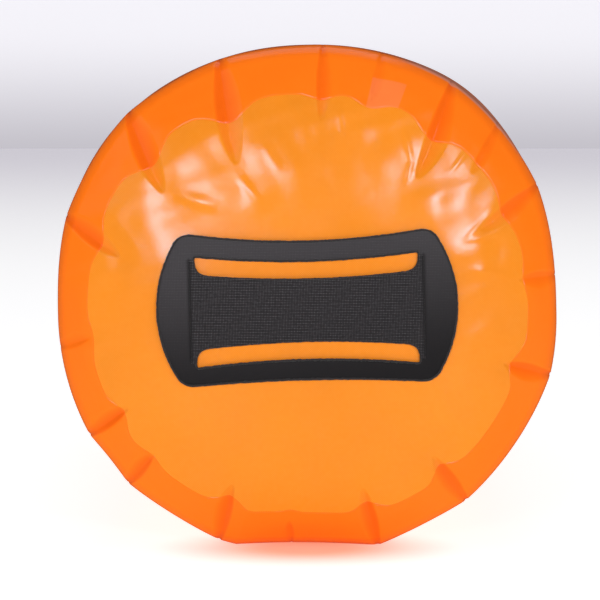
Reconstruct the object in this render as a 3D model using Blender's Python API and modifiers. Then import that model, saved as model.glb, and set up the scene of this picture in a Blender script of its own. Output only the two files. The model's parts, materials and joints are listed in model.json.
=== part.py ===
"""Roll-top dry bag lying on its side, with a welded grip on its round base and its mouth rolled and buckled.

Frame: metres, +Z up. The bag lies along Y, with its base at the -Y end and its closure at the +Y end.
The origin is under the middle of the bag, on the surface that it lies on.
"""

from math import atan2, cos, hypot, pi, radians, sin

import bmesh
import bpy
from mathutils import Matrix, Vector

MM = 0.001
GAP = 0.3 * MM

# Bag
SECTION_HALF_WIDTH = 100 * MM
SECTION_HALF_HEIGHT = 97 * MM
SECTION_CENTRE_Z = 93 * MM
SECTION_FULLNESS = 2.35
CLOTH = 1.0 * MM
TUBE_LENGTH = 290 * MM
SHOULDER_LENGTH = 96 * MM
SHOULDER_FULLNESS = 0.62
SHOULDER_CLOSING = Vector((0.55, 0.12, 0.55))
HEM_WIDTH = 15 * MM
RIM_SHARE = 0.99
RIM_ROUNDING = 2 * MM
DOME_RISE = 17 * MM
DOME_POWER = 3.2
AROUND = 48
TAPE_WIDTH = 14 * MM
TAPE_THICKNESS = 0.5 * MM
SEAM_ANGLE = radians(70)

# Grip on the base
GRIP_CENTRE_Z = 94.5 * MM
GRIP_TURN = radians(-1.4)
GRIP_THICKNESS = 1.2 * MM
FRAME_CORNER = (49.5 * MM, 30.4 * MM)
FRAME_BULGE = 59.5 * MM
FRAME_WAIST = (26.5 * MM, -28.2 * MM)
FRAME_ROUNDING = 7 * MM
WINDOW_HALF_LENGTH = 44.7 * MM
WINDOW_END_BULGE = 0.1 * MM
WINDOW_ROUNDING = 2 * MM
WINDOW_END = (21.0 * MM, -23.0 * MM)
WINDOW_WAIST = (18.1 * MM, -20.5 * MM)
BAND_END = (14.2 * MM, -15.4 * MM)
BAND_WAIST = (11.6 * MM, -12.9 * MM)

# Rolled mouth, bent into a carrying loop: each half is arcs of (radius, angle) from the middle outwards
ROLL_ARCS = ((95 * MM, radians(35)), (48 * MM, radians(95)), (60 * MM, radians(15)))
TAB_ARC = (40 * MM, radians(35))
ROLL_THICKNESS = 12 * MM
ROLL_WIDTH = 32 * MM
ROLL_POCKET = (3.2 * MM, 24.8 * MM)
FLEX_GAP = 2.8 * MM
STRIP_THICKNESS = 1.2 * MM
STRIP_WIDTH = 24 * MM
TAB_LAYER = 1.3 * MM
TAB_WIDTH = 20 * MM
TAB_TUCK = 18 * MM
TAB_PARTING = 7 * MM
TAB_EYE_END = 5.2 * MM
TAB_WRAP = 1.9
MOUTH_HALF_THICKNESS = 2.6 * MM
BARTACK_LENGTH = 3 * MM
BARTACK_WIDTH = 17 * MM
BARTACK_THICKNESS = 0.6 * MM

# Side-release buckle
BUCKLE_HALF_LENGTH = 26 * MM
BUCKLE_WIDTH = 28 * MM
BUCKLE_THICKNESS = 10 * MM
BAR_RADIUS = 1.6 * MM
BAR_INSET = 1.8 * MM
BAR_ROOTING = 1 * MM
YOKE_CLEARANCE = 0.5 * MM
BUCKLE_ROUNDING = 1.8 * MM
MOUTH_X = 6 * MM
CAVITY = (25 * MM, 6.4 * MM, 20.8 * MM)
WINDOW_X = (-15.5 * MM, -4.5 * MM)
TONGUE = (14 * MM, 5.2 * MM, 4 * MM)
PRONG_DEPTH = 5.2 * MM
PRONG_ROOT = (5.8 * MM, 7.0 * MM)


def loop_station(distance):
    """Position and heading at a distance along one half of the loop, from its middle."""
    x = y = heading = 0.0
    left = distance
    for radius, angle in (*ROLL_ARCS, TAB_ARC):
        turn = min(left / radius, angle)
        x += radius * (sin(heading + turn) - sin(heading))
        y += radius * (cos(heading) - cos(heading + turn))
        heading += turn
        left -= turn * radius
        if left <= 0:
            return x, y, heading
    return x + left * cos(heading), y + left * sin(heading), heading


ROLL_HALF_LENGTH = sum(radius * angle for radius, angle in ROLL_ARCS)
TAB_ARC_END = ROLL_HALF_LENGTH + TAB_ARC[0] * TAB_ARC[1]
HINGE_DISTANCE = ROLL_ARCS[0][0] * ROLL_ARCS[0][1]
LOOP_HEIGHT = loop_station(TAB_ARC_END)[1]
BAR_X = BUCKLE_HALF_LENGTH - BAR_INSET
BAR_DISTANCE = TAB_ARC_END + loop_station(TAB_ARC_END)[0] - BAR_X

FRONT_REACH = DOME_RISE + GAP + GRIP_THICKNESS
TOTAL_LENGTH = (
    FRONT_REACH + TUBE_LENGTH + SHOULDER_LENGTH + LOOP_HEIGHT + BUCKLE_THICKNESS / 2
)
RIM_Y = FRONT_REACH - TOTAL_LENGTH / 2
TUBE_END_Y = RIM_Y + TUBE_LENGTH
RIDGE_Y = TUBE_END_Y + SHOULDER_LENGTH
BUCKLE_Y = RIDGE_Y + LOOP_HEIGHT
CLOSURE_Z = 95 * MM


def clear_scene():
    for item in list(bpy.data.objects):
        bpy.data.objects.remove(item, do_unlink=True)


def new_collection(name, hidden=False):
    collection = bpy.data.collections.new(name)
    collection.hide_render = hidden
    bpy.context.scene.collection.children.link(collection)
    return collection


def material(name, colour, roughness, coat=0.0):
    made = bpy.data.materials.new(name)
    made.use_nodes = True
    shader = made.node_tree.nodes["Principled BSDF"]
    shader.inputs["Base Color"].default_value = (*colour, 1)
    shader.inputs["Roughness"].default_value = roughness
    shader.inputs["Coat Weight"].default_value = coat
    made.diffuse_color = (*colour, 1)
    return made


clear_scene()
PARTS = new_collection("dry_bag")
CUTTERS = new_collection("cutters", hidden=True)
TUBE_CLOTH = material("tube_cloth", (0.91, 0.22, 0.03), 0.35, coat=0.3)
PANEL_CLOTH = material("panel_cloth", (0.90, 0.32, 0.07), 0.45, coat=0.2)
SEAM_TAPE = material("seam_tape", (0.85, 0.30, 0.10), 0.4)
GRIP_CLOTH = material("grip_cloth", (0.05, 0.045, 0.05), 0.55)
STRIP_PLASTIC = material("strip_plastic", (0.75, 0.73, 0.70), 0.4)
WEBBING = material("webbing", (0.02, 0.02, 0.022), 0.8)
THREAD = material("thread", (0.015, 0.015, 0.016), 0.7)
BUCKLE_PLASTIC = material("buckle_plastic", (0.018, 0.018, 0.02), 0.42)


def link(shape, collection, finish=None):
    collection.objects.link(shape)
    if finish:
        shape.data.materials.append(finish)
    return shape


def mesh_object(name, build, collection, finish=None):
    """An object whose mesh is the bmesh that build() returns, with its faces turned outward."""
    body = build()
    bmesh.ops.recalc_face_normals(body, faces=body.faces)
    mesh = bpy.data.meshes.new(name)
    body.to_mesh(mesh)
    body.free()
    mesh.shade_smooth()
    mesh.set_sharp_from_angle(angle=radians(35))
    return link(bpy.data.objects.new(name, mesh), collection, finish)


def outline_plate(name, outlines, half_depth, collection, finish=None, upright=False):
    """Closed outlines, the first the edge and the others holes, extruded both ways into one plate.

    Outlines lie in XY, or in XZ when upright.
    """
    curve = bpy.data.curves.new(name, "CURVE")
    curve.dimensions = "2D"
    curve.fill_mode = "BOTH"
    curve.extrude = half_depth
    for points in outlines:
        spline = curve.splines.new("POLY")
        spline.points.add(len(points) - 1)
        for point, (across, along) in zip(spline.points, points):
            point.co = (across, along, 0, 1)
        spline.use_cyclic_u = True
    drawn = link(bpy.data.objects.new(name + "_outline", curve), collection)
    graph = bpy.context.evaluated_depsgraph_get()
    mesh = bpy.data.meshes.new_from_object(drawn.evaluated_get(graph))
    bpy.data.objects.remove(drawn)
    body = bmesh.new()
    body.from_mesh(mesh)
    bmesh.ops.remove_doubles(body, verts=body.verts, dist=0.001 * MM)
    if upright:
        bmesh.ops.transform(body, matrix=Matrix.Rotation(pi / 2, 4, "X"), verts=body.verts)
    bmesh.ops.recalc_face_normals(body, faces=body.faces)
    body.to_mesh(mesh)
    body.free()
    mesh.name = name
    plate = link(bpy.data.objects.new(name, mesh), collection, finish)
    return plate


def cuboid(name, low, high, collection, finish=None):
    def build():
        body = bmesh.new()
        bmesh.ops.create_cube(body, size=1)
        middle = (Vector(low) + Vector(high)) / 2
        size = Vector(high) - Vector(low)
        bmesh.ops.scale(body, vec=size, verts=body.verts)
        bmesh.ops.translate(body, vec=middle, verts=body.verts)
        return body

    return mesh_object(name, build, collection, finish)


def bevel(shape, width, segments=2, angle=40):
    rounding = shape.modifiers.new("rounding", "BEVEL")
    rounding.width = width
    rounding.segments = segments
    rounding.limit_method = "ANGLE"
    rounding.angle_limit = radians(angle)


def boolean(shape, other, operation="DIFFERENCE"):
    cut = shape.modifiers.new(operation.lower() + "_" + other.name, "BOOLEAN")
    cut.object = other
    cut.operation = operation
    other.display_type = "WIRE"
    other.hide_render = True


# ---------------------------------------------------------------- bag


def fullness(angle):
    """How far the section's upper half swells past an ellipse, as a factor of its radius."""
    if sin(angle) <= 0:
        return 1.0
    power = SECTION_FULLNESS
    return (abs(cos(angle)) ** power + sin(angle) ** power) ** (-1 / power)


def section_point(angle, share=1.0, inset=0.0):
    """A point (x, z) of the bag's cross-section, flat where it rests; share scales it towards its middle."""
    swell = fullness(angle)
    x = (SECTION_HALF_WIDTH * swell - inset) * cos(angle)
    z = (SECTION_HALF_HEIGHT * swell - inset) * sin(angle)
    z = max(z, inset - SECTION_CENTRE_Z)
    return x * share, SECTION_CENTRE_Z + z * share


def dome(share):
    """How far the base stands out in front of its rim, at a share of the way from its middle."""
    return DOME_RISE * (1 - min(share, 1) ** DOME_POWER)


def dome_at(x, z):
    across, up = x / SECTION_HALF_WIDTH, (z - SECTION_CENTRE_Z) / SECTION_HALF_HEIGHT
    return dome(hypot(across, up) / fullness(atan2(up, across)))


def dome_ring(share, behind=0.0):
    ring = []
    for step in range(AROUND):
        x, z = section_point(2 * pi * step / AROUND, share)
        ring.append((x, RIM_Y - dome(share) + behind, z))
    return ring


def tube_ring(y):
    return [(x, y, z) for x, z in (section_point(2 * pi * k / AROUND) for k in range(AROUND))]


def mouth_point(angle):
    """The end of the shoulder under the roll: a thin flat oval that follows the roll's curve."""
    reach = HINGE_DISTANCE - FLEX_GAP
    share = 1 - 2 * (angle % pi) / pi
    share = share if angle < pi else -share
    x, y, heading = loop_station(abs(share) * reach)
    below = ROLL_THICKNESS / 2 + GAP
    x += below * sin(heading)
    y -= below * cos(heading)
    level = abs(sin(angle)) ** 0.35 * (1 if sin(angle) >= 0 else -1)
    return Vector((x if share >= 0 else -x, RIDGE_Y + y, CLOSURE_Z + MOUTH_HALF_THICKNESS * level))


def shoulder_ring(share):
    """One ring of the shoulder: leaves the tube along Y, and turns in to the mouth."""
    ring = []
    for step in range(AROUND):
        angle = 2 * pi * step / AROUND
        x, z = section_point(angle)
        start = Vector((x, TUBE_END_Y, z))
        end = mouth_point(angle)
        leave = start + Vector((0, SHOULDER_FULLNESS * SHOULDER_LENGTH, 0))
        arrive = end + (start - end) * SHOULDER_CLOSING
        back = 1 - share
        ring.append(
            back**3 * start
            + 3 * back**2 * share * leave
            + 3 * back * share**2 * arrive
            + share**3 * end
        )
    return ring


def lofted(rings, closed_middle=False):
    """An open surface through rings of equal count; closed_middle fans the first ring to its middle."""
    body = bmesh.new()
    rows = [[body.verts.new(point) for point in ring] for ring in rings]
    for row, following in zip(rows, rows[1:]):
        for k in range(AROUND):
            body.faces.new((row[k], row[k - 1], following[k - 1], following[k]))
    if closed_middle:
        middle = sum((v.co for v in rows[0]), Vector()) / AROUND
        centre = body.verts.new(middle)
        for k in range(AROUND):
            body.faces.new((centre, rows[0][k - 1], rows[0][k]))
    return body


def solidify(shape, thickness, offset=-1):
    walls = shape.modifiers.new("cloth", "SOLIDIFY")
    walls.thickness = thickness
    walls.offset = offset
    walls.use_even_offset = True


def make_body_shell():
    hem_share = 1 - HEM_WIDTH / SECTION_HALF_WIDTH
    hem = [dome_ring(hem_share + (RIM_SHARE - hem_share) * k / 3) for k in range(4)]
    tube = [tube_ring(RIM_Y + TUBE_LENGTH * k / 5) for k in range(1, 6)]
    rim = [tube_ring(RIM_Y + RIM_ROUNDING)]
    shoulder = [shoulder_ring(share) for share in (0.15, 0.3, 0.45, 0.6, 0.74, 0.87, 1.0)]

    def build():
        return lofted(hem + rim + tube + shoulder)

    shell = mesh_object("body_shell", build, PARTS, TUBE_CLOTH)
    solidify(shell, CLOTH)
    return shell


def make_base_panel():
    behind = 1.2 * CLOTH + GAP
    open_shares = (0.18, 0.36, 0.52, 0.65, 0.76)
    covered_shares = (0.83, 0.9, 0.965)

    def build():
        rings = [dome_ring(share) for share in open_shares]
        rings += [dome_ring(share, behind) for share in covered_shares]
        return lofted(rings, closed_middle=True)

    panel = mesh_object("base_panel", build, PARTS, PANEL_CLOTH)
    solidify(panel, CLOTH)
    return panel


def make_seam_tape():
    """A thin strip behind the tube's lengthwise weld, bent to the tube's facets."""
    inset = CLOTH + 0.6 * MM
    half_angle = TAPE_WIDTH / 2 / SECTION_HALF_WIDTH
    angles = [SEAM_ANGLE + half_angle * k / 2 for k in range(-2, 3)]
    outer = [section_point(a, 1, inset) for a in angles]
    inner = [section_point(a, 1, inset + TAPE_THICKNESS) for a in reversed(angles)]
    length = TUBE_LENGTH - 20 * MM
    tape = outline_plate("side_seam_tape", [outer + inner], length / 2, PARTS, SEAM_TAPE, upright=True)
    tape.location.y = RIM_Y + 12 * MM + length / 2
    return tape


# ---------------------------------------------------------------- grip


def arc_through(start, middle, end, count):
    """Points of the circular arc through three points."""
    (ax, ay), (bx, by), (cx, cy) = start, middle, end
    d = 2 * (ax * (by - cy) + bx * (cy - ay) + cx * (ay - by))
    a2, b2, c2 = ax * ax + ay * ay, bx * bx + by * by, cx * cx + cy * cy
    ux = (a2 * (by - cy) + b2 * (cy - ay) + c2 * (ay - by)) / d
    uy = (a2 * (cx - bx) + b2 * (ax - cx) + c2 * (bx - ax)) / d
    centre = Vector((ux, uy))
    first = Vector(start) - centre
    turn = first.angle_signed(Vector(end) - centre)
    points = []
    for k in range(count + 1):
        spoke = first.copy()
        spoke.rotate(Matrix.Rotation(-turn * k / count, 2))
        points.append(tuple(centre + spoke))
    return points


def rounded_outline(sides, rounding, steps=4):
    """Joins four sides, given as point lists meeting at corners, with a curve at each corner."""
    outline = []
    for side, following in zip(sides, sides[1:] + sides[:1]):
        corner = Vector(side[-1])
        kept = [p for p in side if (Vector(p) - corner).length > rounding]
        kept = [p for p in kept if (Vector(p) - Vector(side[0])).length > rounding]
        outline += kept
        before = corner + (Vector(side[-2]) - corner).normalized() * rounding
        after = corner + (Vector(following[1]) - corner).normalized() * rounding
        for k in range(steps + 1):
            t = k / steps
            outline.append(tuple((1 - t) ** 2 * before + 2 * t * (1 - t) * corner + t * t * after))
    return outline


def waisted(half_length, bulge, end, waist, rounding):
    """An hourglass outline: hollow top and bottom edges, and ends that are straight or bulge."""
    top, low = end
    right_top, right_low = (half_length, top), (half_length, low)
    left_top, left_low = (-half_length, top), (-half_length, low)
    across = [
        arc_through(left_low, (0, waist[1]), right_low, 14),
        arc_through(right_low, (bulge, 0), right_top, 10),
        arc_through(right_top, (0, waist[0]), left_top, 14),
        arc_through(left_top, (-bulge, 0), left_low, 10),
    ]
    return rounded_outline(across, rounding)


def drape_on_dome(shape, clearance):
    """Cuts a plate into small facets and moves them out onto the domed base."""
    body = bmesh.new()
    body.from_mesh(shape.data)
    for axis, reach, spacing in ((0, 60 * MM, 12 * MM), (2, 30 * MM, 10 * MM)):
        place = -reach
        while place <= reach:
            normal = Vector([1 if k == axis else 0 for k in range(3)])
            whole = body.verts[:] + body.edges[:] + body.faces[:]
            bmesh.ops.bisect_plane(body, geom=whole, plane_co=normal * place, plane_no=normal)
            place += spacing
    bmesh.ops.triangulate(body, faces=body.faces)
    for vert in body.verts:
        vert.co.y += RIM_Y - dome_at(vert.co.x, vert.co.z + GRIP_CENTRE_Z) - clearance
    body.to_mesh(shape.data)
    body.free()


def place_on_base(shape):
    shape.matrix_world = Matrix.Translation((0, 0, GRIP_CENTRE_Z)) @ Matrix.Rotation(GRIP_TURN, 4, "Y")


def make_handle_frame():
    corner_x, corner_z = FRAME_CORNER
    edge = waisted(corner_x, FRAME_BULGE, (corner_z, -corner_z), FRAME_WAIST, FRAME_ROUNDING)
    window_bulge = WINDOW_HALF_LENGTH + WINDOW_END_BULGE
    window = waisted(WINDOW_HALF_LENGTH, window_bulge, WINDOW_END, WINDOW_WAIST, WINDOW_ROUNDING)
    frame = outline_plate(
        "handle_frame", [edge, window], GRIP_THICKNESS / 2, PARTS, GRIP_CLOTH, upright=True
    )
    drape_on_dome(frame, GAP + GRIP_THICKNESS / 2)
    place_on_base(frame)
    return frame


def make_handle_band():
    half_length = WINDOW_HALF_LENGTH - GAP
    edge = waisted(half_length, half_length + 0.1 * MM, BAND_END, BAND_WAIST, 1 * MM)
    band = outline_plate("handle_band", [edge], GRIP_THICKNESS / 2, PARTS, GRIP_CLOTH, upright=True)
    place_on_base(band)
    band.location.y = RIM_Y - DOME_RISE - GAP - GRIP_THICKNESS / 2
    return band


# ---------------------------------------------------------------- closure


def loop_band(start, end, inner, outer, side, step=6 * MM):
    """The outline of a band along one side of the loop; offsets grow away from the loop's inside."""
    count = max(2, round(abs(end - start) / step))
    edges = []
    for offset in (inner, outer):
        edge = []
        for k in range(count + 1):
            distance = start + (end - start) * k / count
            x, y, heading = loop_station(abs(distance))
            x += offset * sin(heading)
            y -= offset * cos(heading)
            edge.append((side * (x if distance >= 0 else -x), RIDGE_Y + y))
        edges.append(edge)
    return edges[0] + edges[1][::-1]


ROLL_SPANS = {
    "centre": (-HINGE_DISTANCE + FLEX_GAP / 2, HINGE_DISTANCE - FLEX_GAP / 2, 1),
    "left": (HINGE_DISTANCE + FLEX_GAP / 2, ROLL_HALF_LENGTH, -1),
    "right": (HINGE_DISTANCE + FLEX_GAP / 2, ROLL_HALF_LENGTH, 1),
}


def make_roll(place):
    """A stretch of the rolled mouth, a thick flat sleeve with a pocket for the strips and the tab."""
    start, end, side = ROLL_SPANS[place]
    half = ROLL_THICKNESS / 2
    roll = outline_plate(
        "roll_" + place, [loop_band(start, end, -half, half, side)], ROLL_WIDTH / 2, PARTS, TUBE_CLOTH
    )
    roll.location.z = CLOSURE_Z
    bevel(roll, 3.5 * MM, segments=3, angle=60)
    deep, wide = ROLL_POCKET
    past = 4 * MM
    pocket = outline_plate(
        "pocket_" + place, [loop_band(start - past, end + past, -deep / 2, deep / 2, side)], wide / 2, CUTTERS
    )
    pocket.location.z = CLOSURE_Z
    boolean(roll, pocket)
    return roll


def make_strip(layer, place):
    """One of the two strips that stiffen the lips, in the pocket of a stretch of roll."""
    start, end, side = ROLL_SPANS[place]
    if place != "centre":
        end -= TAB_TUCK + 1 * MM
    near = GAP / 2 if layer == "outer" else -GAP / 2 - STRIP_THICKNESS
    strip = outline_plate(
        f"stiffener_{layer}_{place}",
        [loop_band(start, end, near, near + STRIP_THICKNESS, side)],
        STRIP_WIDTH / 2,
        PARTS,
        STRIP_PLASTIC,
    )
    strip.location.z = CLOSURE_Z
    return strip


def make_tab(place, side):
    """A webbing tab: two layers from inside the roll's end to the buckle, where they part round its bar."""
    half = TAB_LAYER
    eye = BAR_RADIUS + GAP
    start = ROLL_HALF_LENGTH - TAB_TUCK
    stem = loop_band(start, BAR_DISTANCE - TAB_PARTING, -half, half, side, step=4 * MM)
    count = len(stem) // 2
    bar = Vector((side * BAR_X, BUCKLE_Y))

    def round_bar(radius, begin, finish, steps):
        turns = [begin + (finish - begin) * k / steps for k in range(steps + 1)]
        return [tuple(bar + radius * Vector((-side * cos(t), sin(t)))) for t in turns]

    outer_radius = eye + TAB_LAYER
    cap = round_bar(outer_radius, -TAB_WRAP, TAB_WRAP, 12)
    outline = stem[:count] + cap + stem[count:]
    hole = round_bar(eye, -TAB_WRAP, TAB_WRAP, 12)
    hole.append(tuple(bar + Vector((side * TAB_EYE_END, 0))))
    tab = outline_plate("tab_" + place, [outline, hole], TAB_WIDTH / 2, PARTS, WEBBING)
    tab.location.z = CLOSURE_Z
    return tab


def make_bartack(place, side):
    start = ROLL_HALF_LENGTH + 6 * MM
    face = TAB_LAYER + GAP
    tack = outline_plate(
        "bartack_" + place,
        [loop_band(start, start + BARTACK_LENGTH, face, face + BARTACK_THICKNESS, side, step=1 * MM)],
        BARTACK_WIDTH / 2,
        PARTS,
        THREAD,
    )
    tack.location.z = CLOSURE_Z
    return tack


# ---------------------------------------------------------------- buckle


def buckle_half(name, side, inner_end):
    """A buckle half's outer block with a webbing bar at its far end, before its own cuts."""
    far = BUCKLE_HALF_LENGTH
    xs = sorted((side * far, inner_end))
    half_thick, half_wide = BUCKLE_THICKNESS / 2, BUCKLE_WIDTH / 2
    low, high = (xs[0], -half_thick, -half_wide), (xs[1], half_thick, half_wide)
    block = cuboid(name, low, high, PARTS, BUCKLE_PLASTIC)
    bevel(block, BUCKLE_ROUNDING, segments=2)
    opening = BAR_X - BAR_RADIUS - GAP * 2 - TAB_LAYER
    xs = sorted((side * opening, side * (far + 2 * MM)))
    inside = TAB_WIDTH / 2 + YOKE_CLEARANCE
    deep = BUCKLE_THICKNESS
    yoke = cuboid(name + "_yoke", (xs[0], -deep, -inside), (xs[1], deep, inside), CUTTERS)
    boolean(block, yoke)

    def build():
        body = bmesh.new()
        depth = 2 * (inside + BAR_ROOTING)
        bmesh.ops.create_cone(
            body, cap_ends=True, segments=16, radius1=BAR_RADIUS, radius2=BAR_RADIUS, depth=depth
        )
        bmesh.ops.translate(body, vec=(side * BAR_X, 0, 0), verts=body.verts)
        return body

    bar = mesh_object(name + "_bar", build, CUTTERS)
    boolean(block, bar, "UNION")
    return block


def make_socket():
    socket = buckle_half("buckle_socket", -1, MOUTH_X)
    length, deep, wide = CAVITY
    cavity = cuboid(
        "socket_cavity",
        (MOUTH_X - length, -deep / 2, -wide / 2),
        (MOUTH_X + 3 * MM, deep / 2, wide / 2),
        CUTTERS,
    )
    reach = BUCKLE_WIDTH / 2 + 2 * MM
    windows = cuboid(
        "socket_windows", (WINDOW_X[0], -deep / 2, -reach), (WINDOW_X[1], deep / 2, reach), CUTTERS
    )
    boolean(socket, cavity)
    boolean(socket, windows)
    return socket, (cavity, windows)


def make_plug():
    base = MOUTH_X + GAP + 0.1 * MM
    plug = buckle_half("buckle_plug", 1, base)
    length, deep, wide = TONGUE
    tongue = cuboid(
        "plug_tongue", (base - length, -deep / 2, -wide / 2), (base + 3 * MM, deep / 2, wide / 2), CUTTERS
    )
    boolean(plug, tongue, "UNION")
    return plug


def prong_outline(side):
    """A spring prong seen from its flat face: a beam from its root to a hooked head that fills a window."""
    root_x, root_z = PRONG_ROOT
    points = (
        (root_x, root_z - 1.4 * MM),
        (root_x, root_z + 1.4 * MM),
        (-4.9 * MM, 8.2 * MM),
        (-5.1 * MM, 12.0 * MM),
        (-6.4 * MM, 12.6 * MM),
        (-10.0 * MM, 11.8 * MM),
        (-15.0 * MM, 9.6 * MM),
        (-17.6 * MM, 7.4 * MM),
        (-17.6 * MM, 6.0 * MM),
        (-15.5 * MM, 5.2 * MM),
    )
    return [(x, side * z) for x, z in points]


def make_prong(name, side):
    prong = outline_plate(
        name, [prong_outline(side)], PRONG_DEPTH / 2, PARTS, BUCKLE_PLASTIC, upright=True
    )
    bevel(prong, 0.5 * MM, segments=1, angle=50)
    return prong


def axis_empty(name, place, pieces, parent=None):
    """An empty on a joint's axis; the pieces, and any further empties, move with it."""
    pivot = bpy.data.objects.new(name, None)
    pivot.empty_display_size = 0.02
    PARTS.objects.link(pivot)
    pivot.matrix_world = Matrix.Translation(place)
    if parent:
        pivot.parent = parent
        pivot.matrix_parent_inverse = parent.matrix_world.inverted()
    bpy.context.view_layer.update()
    for piece in pieces:
        piece.parent = pivot
        piece.matrix_parent_inverse = pivot.matrix_world.inverted()
    return pivot


def main():
    make_body_shell()
    make_base_panel()
    make_seam_tape()
    make_handle_frame()
    band = make_handle_band()

    arm_pieces = {"left": [], "right": []}
    for place in ROLL_SPANS:
        pieces = [make_roll(place)]
        pieces += [make_strip(layer, place) for layer in ("inner", "outer")]
        if place in arm_pieces:
            arm_pieces[place] += pieces
    for place, side in (("left", -1), ("right", 1)):
        arm_pieces[place] += [make_tab(place, side), make_bartack(place, side)]

    socket, socket_cutters = make_socket()
    plug = make_plug()
    prongs = {"prong_upper": make_prong("prong_upper", 1), "prong_lower": make_prong("prong_lower", -1)}
    buckle_place = Vector((0, BUCKLE_Y, CLOSURE_Z))
    placed = [socket, plug, *prongs.values(), *socket_cutters]
    cutters = [half + end for half in ("buckle_socket", "buckle_plug") for end in ("_yoke", "_bar")]
    placed += [bpy.data.objects[cutter] for cutter in [*cutters, "plug_tongue"]]
    for piece in placed:
        piece.location = buckle_place
    bpy.context.view_layer.update()

    hinge_x, hinge_y, _ = loop_station(HINGE_DISTANCE)
    hinge_y += RIDGE_Y
    left = axis_empty("closure_left_axis", (-hinge_x, hinge_y, CLOSURE_Z), arm_pieces["left"])
    right = axis_empty("closure_right_axis", (hinge_x, hinge_y, CLOSURE_Z), arm_pieces["right"])
    axis_empty("socket_swivel_axis", (-BAR_X, BUCKLE_Y, CLOSURE_Z), [socket], left)
    swivel = axis_empty("plug_swivel_axis", (BAR_X, BUCKLE_Y, CLOSURE_Z), [plug], right)
    for name, side in (("prong_upper", 1), ("prong_lower", -1)):
        root = (PRONG_ROOT[0], BUCKLE_Y, CLOSURE_Z + side * PRONG_ROOT[1])
        axis_empty(name + "_axis", root, [prongs[name]], swivel)
    axis_empty("grip_lift_axis", (0, band.location.y, GRIP_CENTRE_Z), [band])


main()
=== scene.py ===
import json
from math import atan, cos, pi, radians, sin, tan

import bmesh
import bpy
import numpy as np
from mathutils import Matrix, Vector, noise


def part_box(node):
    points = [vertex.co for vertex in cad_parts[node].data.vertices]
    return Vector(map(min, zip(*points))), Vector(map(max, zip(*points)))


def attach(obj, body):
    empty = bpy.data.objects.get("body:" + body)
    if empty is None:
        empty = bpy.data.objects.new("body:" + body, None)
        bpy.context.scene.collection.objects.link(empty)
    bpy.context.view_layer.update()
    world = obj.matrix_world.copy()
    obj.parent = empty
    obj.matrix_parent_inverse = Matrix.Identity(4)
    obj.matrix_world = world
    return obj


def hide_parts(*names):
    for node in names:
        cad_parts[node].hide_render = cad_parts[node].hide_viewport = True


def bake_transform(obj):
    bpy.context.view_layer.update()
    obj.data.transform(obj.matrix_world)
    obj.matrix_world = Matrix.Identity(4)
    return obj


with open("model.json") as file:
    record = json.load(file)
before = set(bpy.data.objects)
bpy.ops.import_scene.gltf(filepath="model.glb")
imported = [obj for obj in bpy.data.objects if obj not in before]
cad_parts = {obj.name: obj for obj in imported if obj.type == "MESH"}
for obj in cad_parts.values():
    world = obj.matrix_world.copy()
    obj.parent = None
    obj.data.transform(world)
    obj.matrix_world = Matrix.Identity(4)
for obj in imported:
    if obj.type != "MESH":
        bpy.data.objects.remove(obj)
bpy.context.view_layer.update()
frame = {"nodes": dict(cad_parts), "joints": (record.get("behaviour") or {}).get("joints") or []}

MM = 0.001

# Driving dimensions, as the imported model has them
SECTION_HALF_WIDTH = 100 * MM
SECTION_HALF_HEIGHT = 97 * MM
SECTION_CENTRE_Z = 93 * MM
SECTION_FULLNESS = 2.35
DOME_RISE = 17 * MM
DOME_POWER = 3.2
GRIP_STACK = 1.5 * MM
GRIP_CENTRE_Z = 96.9 * MM
GRIP_TURN = radians(1.4)
GRIP_SCALE = 0.986
ROLL_ARCS = ((95 * MM, radians(35)), (48 * MM, radians(95)), (60 * MM, radians(15)))
TAB_ARC = (40 * MM, radians(35))
ROLL_THICKNESS = 12 * MM
TAB_LAYER = 1.3 * MM
TAB_WIDTH = 20 * MM
BAR_RADIUS = 1.6 * MM

JOINTS = {joint["name"]: joint for joint in frame["joints"]}
HINGE = Vector(JOINTS["closure_right"]["pos_m"])
BAR = Vector(JOINTS["plug_swivel"]["pos_m"])
RIM_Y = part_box("handle_band")[0].y + DOME_RISE + GRIP_STACK
RIDGE_Y = HINGE.y - ROLL_ARCS[0][0] * (1 - cos(ROLL_ARCS[0][1]))
CLOSURE_Z = HINGE.z
TUBE_LENGTH = 290 * MM

# Cloth
FABRIC = 0.45 * MM
LIFT = 0.22 * MM
SEAM_ANGLE = 70
SEAM_HALF_WIDTH = 7 * MM


# ---------------------------------------------------------------- materials


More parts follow.
